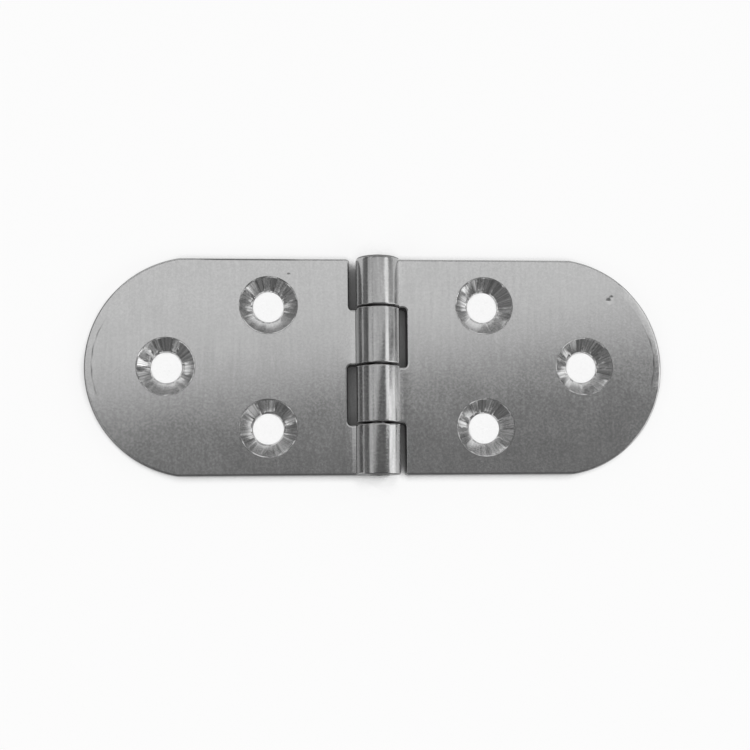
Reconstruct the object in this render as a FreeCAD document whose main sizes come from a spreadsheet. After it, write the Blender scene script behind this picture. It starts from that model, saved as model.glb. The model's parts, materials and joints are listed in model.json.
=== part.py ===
"""Small surface hinge: two rolled sheet leaves with rounded ends on one headed pin.

The hinge lies open flat. X runs across the two leaves, Y runs along the pin and Z points up,
towards the countersunk side. The origin is the middle of the hinge on the plane that it is
screwed to, so both leaves and the barrel rest on Z = 0.

Both leaves are the same stamping. Each is a flat blank with two tongues, and each tongue is
rolled round the pin: it passes under the pin, round its far side and over the top, and ends on
its own leaf, where its cut end leaves a narrow seam. The moving leaf reaches towards +X. The
fixed leaf is the same shape turned half a turn about Z, so its knuckles fill the other two
places. Sizes are in millimetres.
"""
import FreeCAD, Part
import os

import Sketcher

V = FreeCAD.Vector

# Driving sizes: name, value, what it is.
SIZES = [
    ("leaf_reach", 40.0, "from the pin axis to the tip of a leaf"),
    ("hinge_width", 30.0, "along the pin, over the four knuckles"),
    ("sheet_gauge", 2.0, "thickness of the sheet"),
    ("tip_excess", 0.2, "by which the radius of a leaf's rounded end passes half the width"),
    ("tip_corner", 1.0, "radius that blends a long edge into the rounded end"),
    ("edge_roll", 0.3, "rounding that the punch leaves on the upper edge"),
    ("pin_diameter", 2.0, "pin shaft, which is also the inside of a rolled knuckle"),
    ("running_clearance", 0.04, "radial play of the pin in the moving leaf"),
    ("inner_knuckle", 8.0, "pitch of the two inner knuckles"),
    ("knuckle_gap", 0.2, "between neighbouring knuckles"),
    ("rim_round", 0.5, "rounding of the barrel's two outer rims"),
    ("seam_gap", 0.1, "between a tongue's cut end and its own leaf"),
    ("heel_width", 0.6, "across the low ramp beside a rolled knuckle"),
    ("heel_height", 0.12, "rise of that ramp where it meets the barrel"),
    ("end_slot_clearance", 0.85, "from the barrel to the floor of the slot at the end"),
    ("inner_slot_clearance", 1.1, "from the barrel to the floor of the inner slot"),
    ("slot_corner", 0.5, "radius in the corners of the slots"),
    ("screw_hole", 4.3, "diameter of a screw hole"),
    ("screw_sink", 8.1, "diameter of its ninety degree countersink"),
    ("near_hole_reach", 15.0, "from the pin axis to the two holes near the barrel"),
    ("near_hole_margin", 6.5, "from those holes to the nearer long edge"),
    ("far_hole_margin", 11.0, "from the third hole to the tip"),
    ("head_lip", 0.5, "how far a peened head reaches out past the shaft"),
    ("head_height", 0.35, "how far a head stands up from its seat"),
    ("head_clearance", 0.05, "between a head and the knuckle beside it"),
]
SINK_ANGLE = 90.0
# A feature that changes the volume by less than this, in cubic millimetres, has missed.
LEAST_CHANGE = 1e-5

# Lengths that follow from the driving sizes, as expressions on the sheet.
HALF_WIDTH = "(Sizes.hinge_width / 2)"
HALF_GAP = "Sizes.knuckle_gap / 2"
BARREL_RADIUS = "(Sizes.pin_diameter / 2 + Sizes.sheet_gauge)"
SEAM_HEIGHT = f"({BARREL_RADIUS} - Sizes.sheet_gauge - Sizes.seam_gap)"
END_FLOOR = f"({BARREL_RADIUS} + Sizes.end_slot_clearance)"
INNER_FLOOR = f"({BARREL_RADIUS} + Sizes.inner_slot_clearance)"
CURL_ANGLE = f"270 deg + asin({SEAM_HEIGHT} / {BARREL_RADIUS})"
TIP_RADIUS = f"({HALF_WIDTH} + Sizes.tip_excess)"
TIP_CORNER = f"(Sizes.leaf_reach - {TIP_RADIUS} + sqrt({TIP_RADIUS}^2 - {HALF_WIDTH}^2))"

# A leaf along Y, from its slotted end up: an end slot, a tongue, an inner slot and a tongue.
INNER_LOW = f"(-Sizes.inner_knuckle + {HALF_GAP})"
INNER_HIGH = f"(-{HALF_GAP})"
OUTER_LOW = f"(Sizes.inner_knuckle + {HALF_GAP})"

doc = FreeCAD.newDocument("hinge")


def make_sheet():
    """The spreadsheet of driving sizes."""
    sheet = doc.addObject("Spreadsheet::Sheet", "Sizes")
    for row, (name, value, meaning) in enumerate(SIZES, start=1):
        sheet.set(f"A{row}", name)
        sheet.set(f"B{row}", str(value))
        sheet.set(f"C{row}", meaning)
        sheet.setAlias(f"B{row}", name)
    doc.recompute()
    return sheet


SHEET = make_sheet()


def value_of(expression):
    """The number that an expression on the sheet has now."""
    result = SHEET.evalExpression(expression)
    return getattr(result, "Value", result)


# --- sketches and features ----------------------------------------------------------------------

def new_sketch(body, name, plane):
    """A sketch on one of the body's own origin planes, such as XY_Plane."""
    sketch = body.newObject("Sketcher::SketchObject", f"{body.Name}_{name}")
    support = next(f for f in body.Origin.OriginFeatures if f.Role == plane)
    sketch.AttachmentSupport = (support, [""])
    sketch.MapMode = "FlatFace"
    return sketch


def bind_size(sketch, name, expression, *definition):
    """Adds a named dimension and binds it to an expression on the sheet."""
    index = sketch.addConstraint(Sketcher.Constraint(*definition, value_of(expression)))
    sketch.renameConstraint(index, name)
    sketch.setExpression(f"Constraints.{name}", expression)


def bind_point(sketch, name, geometry, point, place):
    """Holds one point of the geometry at a place, two expressions from the sketch's origin."""
    for letter, axis, expression in (("X", -2, place[0]), ("Y", -1, place[1])):
        if abs(value_of(expression)) < 1e-9:
            sketch.addConstraint(Sketcher.Constraint("PointOnObject", geometry, point, axis))
        else:
            bind_size(sketch, f"{name}_{letter}", expression,
                      f"Distance{letter}", -1, 1, geometry, point)


def outward_arc(start, end, radius):
    """The shorter anticlockwise arc between two points."""
    chord = end - start
    left = V(-chord.y, chord.x, 0).normalize()
    centre = (start + end) * 0.5 + left * (radius ** 2 - chord.Length ** 2 / 4) ** 0.5
    return Part.Arc(start, centre - left * radius, end)


def draw_outline(sketch, name, corners, arcs=None):
    """A closed outline through corners given anticlockwise, each as two expressions.

    Sides are straight, except that arcs maps a corner's number to the radius of the arc that
    leads from it to the next.
    """
    arcs = arcs or {}
    points = [V(value_of(x), value_of(y), 0) for x, y in corners]
    following = points[1:] + points[:1]
    first = sketch.GeometryCount
    for number, (start, end) in enumerate(zip(points, following)):
        if number in arcs:
            side = outward_arc(start, end, value_of(arcs[number]))
        else:
            side = Part.LineSegment(start, end)
        sketch.addGeometry(side, False)
    for number, corner in enumerate(corners):
        side = first + number
        after = first + (number + 1) % len(corners)
        sketch.addConstraint(Sketcher.Constraint("Coincident", side, 2, after, 1))
        bind_point(sketch, f"{name}_corner_{number}", side, 1, corner)
        if number in arcs:
            bind_size(sketch, f"{name}_arc_{number}", arcs[number], "Radius", side)


def draw_axis(sketch, start, end):
    """A construction line between two places, for a feature to turn about."""
    places = [V(value_of(x), value_of(y), 0) for x, y in (start, end)]
    axis = sketch.addGeometry(Part.LineSegment(*places), True)
    bind_point(sketch, "axis_start", axis, 1, start)
    bind_point(sketch, "axis_end", axis, 2, end)


def settle(body, feature, grows):
    """Recomputes, and checks that the body's newest feature added or removed material."""
    base = feature.BaseFeature
    before = base.Shape.Volume if base else 0.0
    doc.recompute()
    change = feature.Shape.Volume - before
    if abs(change) < LEAST_CHANGE or (change > 0) is not grows:
        raise RuntimeError(f"{feature.Name}: the volume changed by {change:.4f}")
    body.Tip = feature


def turn(body, name, sketch, angle):
    """Revolves a sketch about its own construction line."""
    feature = body.newObject("PartDesign::Revolution", f"{body.Name}_{name}")
    feature.Profile = sketch
    feature.ReferenceAxis = (sketch, ["Axis0"])
    feature.setExpression("Angle", angle)
    settle(body, feature, grows=True)


def cut_through(body, name, sketch):
    """Cuts a sketch right through the body, both ways."""
    feature = body.newObject("PartDesign::Pocket", f"{body.Name}_{name}")
    feature.Profile = sketch
    feature.Type = "ThroughAll"
    feature.Midplane = True
    settle(body, feature, grows=False)


def round_edges(body, name, wanted, radius, grows):
    """Rounds every edge of the body for which wanted(edge) is true."""
    base = body.Tip
    edges = [f"Edge{i}" for i, edge in enumerate(base.Shape.Edges, start=1) if wanted(edge)]
    if not edges:
        raise RuntimeError(f"{name}: no edge to round")
    feature = body.newObject("PartDesign::Fillet", f"{body.Name}_{name}")
    feature.Base = (base, edges)
    feature.Radius = value_of(radius)
    feature.setExpression("Radius", radius)
    settle(body, feature, grows)


# --- the leaf -----------------------------------------------------------------------------------

def add_blank(body):
    """The flat blank from the pin axis to the rounded tip."""
    sketch = new_sketch(body, "blank_outline", "XY_Plane")
    corners = [("0", f"-{HALF_WIDTH}"), (TIP_CORNER, f"-{HALF_WIDTH}"),
               (TIP_CORNER, HALF_WIDTH), ("0", HALF_WIDTH)]
    draw_outline(sketch, "blank", corners, arcs={1: TIP_RADIUS})
    feature = body.newObject("PartDesign::Pad", f"{body.Name}_blank")
    feature.Profile = sketch
    feature.setExpression("Length", "Sizes.sheet_gauge")
    settle(body, feature, grows=True)


def cut_slots(body):
    """Cuts the places for the other leaf's two knuckles, which leaves the two tongues."""
    sketch = new_sketch(body, "slot_outlines", "XY_Plane")
    past_axis = "-Sizes.sheet_gauge"
    past_end = f"(-{HALF_WIDTH} - Sizes.sheet_gauge)"
    for name, reach, low, high in (("inner", INNER_FLOOR, INNER_HIGH, OUTER_LOW),
                                   ("end", END_FLOOR, past_end, INNER_LOW)):
        draw_outline(sketch, name, [(past_axis, low), (reach, low), (reach, high), (past_axis, high)])
    cut_through(body, "slots", sketch)


def round_corners(body, name, corners, radius, grows):
    """Rounds the upright edges that stand at the given corners of the outline."""
    places = [V(value_of(x), value_of(y), 0) for x, y in corners]

    def is_corner(edge):
        low, high = sorted((v.Point for v in edge.Vertexes), key=lambda p: p.z)
        upright = abs(low.x - high.x) < 1e-6 and abs(low.y - high.y) < 1e-6
        return upright and any((low - place).Length < 1e-4 for place in places)

    round_edges(body, name, is_corner, radius, grows)


def round_outline(body):
    """Rounds the inside corners of the slots and blends the long edges into the end."""
    inside = [(INNER_FLOOR, INNER_HIGH), (INNER_FLOOR, OUTER_LOW), (END_FLOOR, INNER_LOW)]
    round_corners(body, "slot_corners", inside, "Sizes.slot_corner", grows=True)
    outside = [(TIP_CORNER, f"-{HALF_WIDTH}"), (TIP_CORNER, HALF_WIDTH)]
    round_corners(body, "tip_corners", outside, "Sizes.tip_corner", grows=False)


def roll_upper_edge(body):
    """Rounds the upper edge of the blank's outline, along both sides and round the tip."""
    top = value_of("Sizes.sheet_gauge")
    half = value_of(HALF_WIDTH)
    tip = value_of(TIP_RADIUS)

    def is_outline(edge):
        if any(abs(v.Point.z - top) > 1e-6 for v in edge.Vertexes):
            return False
        ends = [v.Point.y for v in edge.Vertexes]
        along_side = abs(ends[0] - ends[-1]) < 1e-6 and abs(abs(ends[0]) - half) < 1e-6
        round_tip = isinstance(edge.Curve, Part.Circle) and abs(edge.Curve.Radius - tip) < 1e-6
        return along_side or round_tip

    round_edges(body, "edge_roll", is_outline, "Sizes.edge_roll", grows=False)


def roll_knuckles(body):
    """The two tongues rolled round the pin, from under it to their cut ends.

    The outer tongue's section has a rounded corner, which becomes the rim of the barrel.
    """
    sketch = new_sketch(body, "tongue_sections", "YZ_Plane")
    gauge = "Sizes.sheet_gauge"
    draw_outline(sketch, "inner", [(INNER_LOW, "0"), (INNER_HIGH, "0"),
                                   (INNER_HIGH, gauge), (INNER_LOW, gauge)])
    draw_outline(sketch, "outer", [(OUTER_LOW, "0"), (f"({HALF_WIDTH} - Sizes.rim_round)", "0"),
                                   (HALF_WIDTH, "Sizes.rim_round"), (HALF_WIDTH, gauge),
                                   (OUTER_LOW, gauge)], arcs={1: "Sizes.rim_round"})
    draw_axis(sketch, (f"-{HALF_WIDTH}", BARREL_RADIUS), (HALF_WIDTH, BARREL_RADIUS))
    turn(body, "knuckles", sketch, CURL_ANGLE)


def add_heel(body, name, low, high):
    """The low ramp that the rolling leaves on the leaf, along the foot of one knuckle."""
    sketch = new_sketch(body, f"{name}_heel_section", "XZ_Plane")
    foot = f"({BARREL_RADIUS} + Sizes.heel_width)"
    crest = "(Sizes.sheet_gauge + Sizes.heel_height)"
    draw_outline(sketch, "heel", [(BARREL_RADIUS, "Sizes.sheet_gauge"),
                                  (foot, "Sizes.sheet_gauge"), (BARREL_RADIUS, crest)])
    # The plane faces -Y, so the section is set back to the low end and padded towards +Y.
    sketch.setExpression(".AttachmentOffset.Base.z", f"-{low}")
    feature = body.newObject("PartDesign::Pad", f"{body.Name}_{name}_heel")
    feature.Profile = sketch
    feature.Reversed = True
    feature.setExpression("Length", f"{high} - {low}")
    settle(body, feature, grows=True)


def sink_screw_holes(body):
    """Three countersunk holes, sunk from the upper face."""
    sketch = new_sketch(body, "hole_centres", "XY_Plane")
    sketch.setExpression(".AttachmentOffset.Base.z", "Sizes.sheet_gauge")
    off_middle = f"({HALF_WIDTH} - Sizes.near_hole_margin)"
    places = (("near_upper", ("Sizes.near_hole_reach", off_middle)),
              ("near_lower", ("Sizes.near_hole_reach", f"-{off_middle}")),
              ("far", ("(Sizes.leaf_reach - Sizes.far_hole_margin)", "0")))
    for name, place in places:
        centre = V(value_of(place[0]), value_of(place[1]), 0)
        radius = value_of("Sizes.screw_hole / 2")
        circle = sketch.addGeometry(Part.Circle(centre, V(0, 0, 1), radius), False)
        bind_point(sketch, name, circle, 3, place)
        bind_size(sketch, f"{name}_size", "Sizes.screw_hole", "Diameter", circle)
    doc.recompute()
    feature = body.newObject("PartDesign::Hole", f"{body.Name}_screw_holes")
    feature.Profile = sketch
    feature.Threaded = False
    feature.DepthType = "ThroughAll"
    feature.HoleCutType = "Countersink"
    feature.HoleCutCountersinkAngle = SINK_ANGLE
    feature.setExpression("Diameter", "Sizes.screw_hole")
    feature.setExpression("HoleCutDiameter", "Sizes.screw_sink")
    settle(body, feature, grows=False)


def ream_knuckles(body):
    """Opens the rolled knuckles to a running fit on the pin."""
    sketch = new_sketch(body, "ream_circle", "XZ_Plane")
    bore = "(Sizes.pin_diameter + 2 * Sizes.running_clearance)"
    centre = V(0, value_of(BARREL_RADIUS), 0)
    circle = sketch.addGeometry(Part.Circle(centre, V(0, 0, 1), value_of(bore) / 2), False)
    bind_point(sketch, "axis", circle, 3, ("0", BARREL_RADIUS))
    bind_size(sketch, "bore", bore, "Diameter", circle)
    cut_through(body, "ream", sketch)


def make_leaf(label, half_turns, reamed):
    """One leaf. It is drawn reaching towards +X, and turned half a turn for the other side."""
    body = doc.addObject("PartDesign::Body", label)
    body.Label = label
    add_blank(body)
    cut_slots(body)
    round_outline(body)
    roll_upper_edge(body)
    roll_knuckles(body)
    if reamed:
        ream_knuckles(body)
    add_heel(body, "inner", INNER_LOW, INNER_HIGH)
    add_heel(body, "outer", OUTER_LOW, f"({HALF_WIDTH} - Sizes.edge_roll)")
    sink_screw_holes(body)
    body.Placement = FreeCAD.Placement(V(0, 0, 0), FreeCAD.Rotation(V(0, 0, 1), 180 * half_turns))
    return body


# --- the pin ------------------------------------------------------------------------------------

def make_pin(label):
    """A straight shaft along Y with a low domed head peened over at each end."""
    body = doc.addObject("PartDesign::Body", label)
    body.Label = label
    sketch = new_sketch(body, "half_section", "YZ_Plane")
    seat = f"({HALF_WIDTH} + Sizes.head_clearance)"
    pole = f"({seat} + Sizes.head_height)"
    shaft_side = f"({BARREL_RADIUS} + Sizes.pin_diameter / 2)"
    head_radius = "(Sizes.pin_diameter / 2 + Sizes.head_lip)"
    head_side = f"({BARREL_RADIUS} + {head_radius})"
    dome = f"(({head_radius}^2 + Sizes.head_height^2) / (2 * Sizes.head_height))"
    corners = [(pole, BARREL_RADIUS), (seat, head_side), (seat, shaft_side),
               (f"-{seat}", shaft_side), (f"-{seat}", head_side), (f"-{pole}", BARREL_RADIUS)]
    draw_outline(sketch, "section", corners, arcs={0: dome, 4: dome})
    draw_axis(sketch, corners[5], corners[0])
    turn(body, "turned", sketch, "360 deg")
    return body


# --- build, check and write ---------------------------------------------------------------------

def check_document(bodies):
    """Stops before anything is written if an object failed or a sub-part isn't one sound solid."""
    doc.recompute()
    failed = [item.Name for item in doc.Objects if "Invalid" in item.State or "Error" in item.State]
    if failed:
        raise RuntimeError("failed objects: " + ", ".join(failed))
    for body in bodies:
        shape = body.Shape
        if shape.isNull() or not shape.isValid() or len(shape.Solids) != 1:
            raise RuntimeError(f"{body.Label}: not one sound solid")


def main():
    bodies = [
        make_leaf("fixed_leaf", half_turns=1, reamed=False),
        make_leaf("moving_leaf", half_turns=0, reamed=True),
        make_pin("hinge_pin"),
    ]
    check_document(bodies)
    os.makedirs("parts", exist_ok=True)
    for body in bodies:
        body.Shape.exportStep(f"parts/{body.Label}.step")
        print(f"{body.Label}: {body.Shape.Volume:.2f} cubic millimetres")


main()
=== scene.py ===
"""A small surface hinge of brushed steel, as a user would make it in the shop.

Each leaf is laid out as a flat stamping with two tongues. Its edges are rounded by the punch, its
screw holes are countersunk, and its tongues are rolled round the pin. The second leaf is the same
stamping turned half a turn. Lengths are in metres, and in millimetres while a stamping is flat.
"""

import json
import math

import bpy
from bpy.props import FloatProperty, FloatVectorProperty, IntProperty, PointerProperty
from mathutils import Matrix, Vector
from mathutils.geometry import delaunay_2d_cdt


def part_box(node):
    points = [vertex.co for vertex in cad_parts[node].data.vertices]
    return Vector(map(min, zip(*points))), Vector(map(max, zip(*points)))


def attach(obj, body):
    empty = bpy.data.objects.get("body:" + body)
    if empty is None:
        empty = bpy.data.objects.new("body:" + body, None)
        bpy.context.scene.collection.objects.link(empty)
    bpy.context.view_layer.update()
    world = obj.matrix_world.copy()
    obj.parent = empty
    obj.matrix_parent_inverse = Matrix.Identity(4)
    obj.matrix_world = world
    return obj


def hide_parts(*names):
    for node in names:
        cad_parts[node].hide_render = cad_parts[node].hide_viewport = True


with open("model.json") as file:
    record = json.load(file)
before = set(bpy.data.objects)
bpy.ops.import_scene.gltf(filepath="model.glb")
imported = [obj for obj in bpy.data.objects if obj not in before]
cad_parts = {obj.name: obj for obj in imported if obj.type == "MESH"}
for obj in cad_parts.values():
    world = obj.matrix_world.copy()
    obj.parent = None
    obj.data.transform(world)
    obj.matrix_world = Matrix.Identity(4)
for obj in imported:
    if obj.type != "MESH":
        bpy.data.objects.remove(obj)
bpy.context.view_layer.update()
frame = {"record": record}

bl_info = {
    "name": "Door Hinge",
    "version": (1, 0, 0),
    "blender": (4, 5, 0),
    "location": "View3D > Sidebar > Hinge",
    "description": "A brushed steel surface hinge with rolled knuckles and a headed pin",
    "category": "Object",
}

MM = 0.001
FULL_TURN = 2 * math.pi
LEAF_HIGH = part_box("moving_leaf")[1]
PIN_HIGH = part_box("hinge_pin")[1]
MOUNTS = {mount["name"]: mount for mount in frame["record"]["mounts"]}
NEAR_HOLES = MOUNTS["moving_leaf_near_holes"]
FAR_HOLE = MOUNTS["moving_leaf_far_hole"]


# ---------------------------------------------------------------- sizes and colours

def length(name, description, default):
    """A property for a length in metres."""
    return FloatProperty(
        name=name, description=description, default=default, min=0.0, precision=5,
        subtype="DISTANCE", unit="LENGTH",
    )


def colour(name, description, default):
    """A property for a linear colour."""
    return FloatVectorProperty(
        name=name, description=description, default=default, size=3, min=0.0, max=1.0,
        subtype="COLOR",
    )


def share(name, description, default):
    """A property for a share from nothing to all."""
    return FloatProperty(
        name=name, description=description, default=default, min=0.0, max=1.0,
        subtype="FACTOR",
    )


def tilt(name, description, degrees):
    """A property for an angle."""
    return FloatProperty(
        name=name, description=description, default=math.radians(degrees), subtype="ANGLE",
        unit="ROTATION",
    )


class HingeSizes(bpy.types.PropertyGroup):
    """Sizes of the stampings and the pin."""

    leaf_reach: length("Leaf reach", "From the pin to the tip of a leaf", LEAF_HIGH.x)
    half_width: length("Half width", "Half the length along the pin", LEAF_HIGH.y)
    pin_height: length("Pin height", "Pin axis above the back of the leaves", LEAF_HIGH.z / 2)
    gauge: length("Gauge", "Thickness of the sheet", 2.0 * MM)
    edge_roll: length("Edge roll", "Rounding of the upper edge", 0.3 * MM)
    back_edge: length("Back edge", "Broken edge on the back", 0.06 * MM)
    tip_excess: length("Tip excess", "Rounded end's radius over half the width", 0.2 * MM)
    tip_corner: length("Tip corner", "Blend from a long edge to the rounded end", 1.0 * MM)
    tongue_corner: length("Tongue corner", "Outer corners of the stamping", 0.4 * MM)
    slot_corner: length("Slot corner", "Inner corners of the slots", 0.5 * MM)
    end_slot: length("End slot", "From the pin to the floor of the end slot", 3.85 * MM)
    inner_slot: length("Inner slot", "From the pin to the floor of the inner slot", 4.1 * MM)
    knuckle_pitch: length("Knuckle pitch", "Pitch of the inner knuckles", 8.0 * MM)
    knuckle_gap: length("Knuckle gap", "Between neighbouring knuckles", 0.2 * MM)
    gap_waver: length("Gap waver", "How far a gap's edges waver", 0.07 * MM)
    knuckle_edge: length("Knuckle edge", "Rounding beside a knuckle gap", 0.12 * MM)
    rim_round: length("Rim round", "Rounding of the barrel's head end", 0.5 * MM)
    foot_round: length("Foot round", "Rounding of the barrel's foot end", 0.22 * MM)
    seam_gap: length("Seam gap", "From a tongue's cut end to its leaf", 0.1 * MM)
    seam_edge: length("Seam edge", "Rounding of a tongue's cut end", 0.1 * MM)
    heel_width: length("Heel width", "Across the ramp beside a knuckle", 0.6 * MM)
    heel_height: length("Heel height", "Rise of that ramp", 0.12 * MM)
    ream: length("Ream", "Radial play of the pin in the moving leaf", 0.04 * MM)
    throat: length("Throat", "Radius of a screw hole", NEAR_HOLES["dims"]["hole_r_mm"] * MM)
    sink: length("Sink", "Radius of a countersink", 4.05 * MM)
    chatter: length("Chatter", "Depth of the cutter marks in a countersink", 0.08 * MM)
    facet_lean: length("Facet lean", "How far a cutter mark leans over its length", 0.38 * MM)
    facets: IntProperty(
        name="Facets", description="Cutter marks round a countersink", default=24, min=6)
    ripple: length("Ripple", "Waviness of a rolled knuckle", 0.022 * MM)
    shaft_radius: length("Shaft radius", "Radius of the pin", 1.0 * MM)
    head_radius: length("Head radius", "Radius of a pin head", PIN_HIGH.x)
    head_seat: length("Head seat", "Clearance under a pin head", 0.05 * MM)
    head_top: length("Head top", "Top of a head from the hinge's middle", PIN_HIGH.y)


class HingeFinish(bpy.types.PropertyGroup):
    """Colours and surface marks."""

    steel: colour("Steel", "Leaf steel", (0.60, 0.60, 0.60))
    pin_steel: colour("Pin steel", "Pin steel", (0.36, 0.36, 0.36))
    grain_spacing: length("Grain spacing", "Between brush marks", 0.16 * MM)
    grain_length: length("Grain length", "Along a brush mark", 2.2 * MM)
    grain_depth: length("Grain depth", "Depth of the brush marks", 0.0011 * MM)
    speck_size: length("Speck size", "Across a speck in the brushed face", 0.3 * MM)
    speck_depth: length("Speck depth", "Depth of the specks", 0.0005 * MM)
    leaf_roughness: share("Leaf roughness", "Roughness of the brushed leaves", 0.19)
    knuckle_roughness: share("Knuckle roughness", "Roughness of the knuckles", 0.15)
    knuckle_shade: share("Knuckle shade", "Steel left bright by the rolling tool", 0.75)
    cut_steel: colour("Cut steel", "Freshly cut steel in a countersink", (0.66, 0.66, 0.66))
    # Painted shade darkens the punched edges, the outer part of each rounded upper edge and the
    # countersink rims, standing in for shade on them.
    edge_painted_shade: share("Edge shade", "Steel left bright on a sheared edge", 0.32)
    # Inside a knuckle gap less shade is painted on the edges, which is painted light in the gap.
    gap_painted_shade: share("Gap shade", "Steel left bright on the end of a knuckle", 0.90)


class StageSettings(bpy.types.PropertyGroup):
    """Floor, lamps and camera."""

    floor: colour("Floor", "Floor", (0.97, 0.97, 0.97))
    room: colour("Room", "Dim room around the lamps", (0.14, 0.14, 0.14))
    whiteness: share("Floor whiteness", "How much of the floor shows plain white", 0.88)
    lamp_level: FloatProperty(
        name="Lamp level", description="Strength of all lamps together", default=1.0, min=0.0)
    camera_distance: length("Camera distance", "From the camera to its aim", 190 * MM)
    camera_lens: FloatProperty(
        name="Lens", description="Focal length in millimetres", default=66.5, min=1.0)
    camera_side: tilt("Side angle", "Camera's lean to the side", -4.9)
    camera_front: tilt("Front angle", "Camera's lean to the front", 6.15)
    camera_roll: tilt("Roll", "Camera's turn about its view", -0.54)


# ---------------------------------------------------------------- node trees

GEOMETRY, METAL = "NodeSocketGeometry", "NodeSocketMaterial"
VECTOR, NUMBER = "NodeSocketVector", "NodeSocketFloat"


def sum_methods(operation):
    """Two methods that put a Math node between a wire and another wire or a number."""

    def wire_first(self, other):
        return self.math(operation, other)

    def number_first(self, other):
        return put(self.tree, "ShaderNodeMath", {0: other, 1: self}, operation=operation)[0]

    return wire_first, number_first


class Wire:
    """One output of a node, which takes part in sums as a number does."""

    def __init__(self, socket):
        self.socket, self.tree = socket, socket.id_data

    def math(self, operation, *others):
        """The result of a Math node."""
        inputs = dict(enumerate((self, *others)))
        return put(self.tree, "ShaderNodeMath", inputs, operation=operation)[0]

    __add__, __radd__ = sum_methods("ADD")
    __sub__, __rsub__ = sum_methods("SUBTRACT")
    __mul__, __rmul__ = sum_methods("MULTIPLY")
    __truediv__, __rtruediv__ = sum_methods("DIVIDE")


class Outputs:
    """A node's outputs as wires, by name or by number."""

    def __init__(self, node):
        self.sockets = node.outputs

    def __getitem__(self, key):
        return Wire(self.sockets[key])


def plug(node, inputs):
    """Puts values, wires or lists of wires on a node's inputs."""
    for key, value in inputs.items():
        for one in value if isinstance(value, list) else [value]:
            if isinstance(one, Wire):
                node.id_data.links.new(one.socket, node.inputs[key])
            else:
                node.inputs[key].default_value = one


def put(tree, kind, inputs=None, **settings):
    """Adds a node with its settings and inputs, and returns its outputs."""
    node = tree.nodes.new(kind)
    for name, value in settings.items():
        setattr(node, name, value)
    plug(node, inputs or {})
    return Outputs(node)


def tree_of(*values):
    """The tree that the wires among some values belong to."""
    return next(value.tree for value in values if isinstance(value, Wire))


def ramp(value, low, high, to_low=0.0, to_high=1.0, shape="SMOOTHSTEP"):
    """The result of a Map Range node."""
    inputs = {"Value": value, "From Min": low, "From Max": high,
              "To Min": to_low, "To Max": to_high}
    return put(value.tree, "ShaderNodeMapRange", inputs, interpolation_type=shape)[0]


def mix(factor, a, b):
    """A blend of two numbers."""
    inputs = {0: factor, 2: a, 3: b}
    return put(tree_of(factor, a, b), "ShaderNodeMix", inputs, data_type="FLOAT")[0]


def combine(x, y, z):
    """A vector from three numbers."""
    return put(tree_of(x, y, z), "ShaderNodeCombineXYZ", {0: x, 1: y, 2: z})[0]


def separate(vector):
    """The three numbers of a vector."""
    return put(vector.tree, "ShaderNodeSeparateXYZ", {0: vector})


def vector_math(operation, a, b):
    """The result of a Vector Math node."""
    return put(tree_of(a, b), "ShaderNodeVectorMath", {0: a, 1: b}, operation=operation)[0]


def noise(vector, scale, detail, roughness):
    """The value of a Noise Texture."""
    inputs = {"Vector": vector, "Scale": scale, "Detail": detail, "Roughness": roughness}
    return put(vector.tree, "ShaderNodeTexNoise", inputs)[0]


def named_tree(name, kind, inputs, outputs):
    """A node group: its tree, its inputs and its output node.

    An input comes with its default value, or with its kind of socket where it has none.
    """
    tree = bpy.data.node_groups.new(name, kind)
    for label, default in inputs.items():
        socket = {float: NUMBER, int: "NodeSocketInt"}.get(type(default), default)
        made = tree.interface.new_socket(label, in_out="INPUT", socket_type=socket)
        if socket != default:
            made.default_value = default
    for label, socket in outputs.items():
        tree.interface.new_socket(label, in_out="OUTPUT", socket_type=socket)
    return tree, Outputs(tree.nodes.new("NodeGroupInput")), tree.nodes.new("NodeGroupOutput")


def run_tree(item, tree, values):
    """Adds a Geometry Nodes modifier, and sets its inputs by their identifiers."""
    modifier = item.modifiers.new(tree.name, "NODES")
    modifier.node_group = tree
    for socket in tree.interface.items_tree:
        if socket.in_out == "INPUT" and socket.name in values:
            modifier[socket.identifier] = values[socket.name]


def read_attribute(tree, name, kind):
    """A named attribute inside a Geometry Nodes tree."""
    return put(
        tree, "GeometryNodeInputNamedAttribute", {"Name": name}, data_type=kind)["Attribute"]


def store(geometry, name, value, kind, domain="POINT"):
    """Geometry with a named attribute stored on it."""
    return put(
        geometry.tree, "GeometryNodeStoreNamedAttribute",
        {"Geometry": geometry, "Name": name, "Value": value}, data_type=kind, domain=domain)[0]


def move_points(geometry, place):
    """Geometry with its points at new places."""
    return put(
        geometry.tree, "GeometryNodeSetPosition", {"Geometry": geometry, "Position": place})[0]


def realize(geometry):
    """Geometry whose instances have become real."""
    return put(geometry.tree, "GeometryNodeRealizeInstances", {"Geometry": geometry})[0]


def set_material(geometry, chosen, metal):
    """Geometry with a material on the chosen faces."""
    return put(
        geometry.tree, "GeometryNodeSetMaterial",
        {"Geometry": geometry, "Selection": chosen, "Material": metal})[0]


# How far apart the random numbers are of one hole and the next, and of a cutter mark's depth and
# its lean.
HOLE_STRIDE, LEAN_STRIDE = 97.0, 0.37


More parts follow.
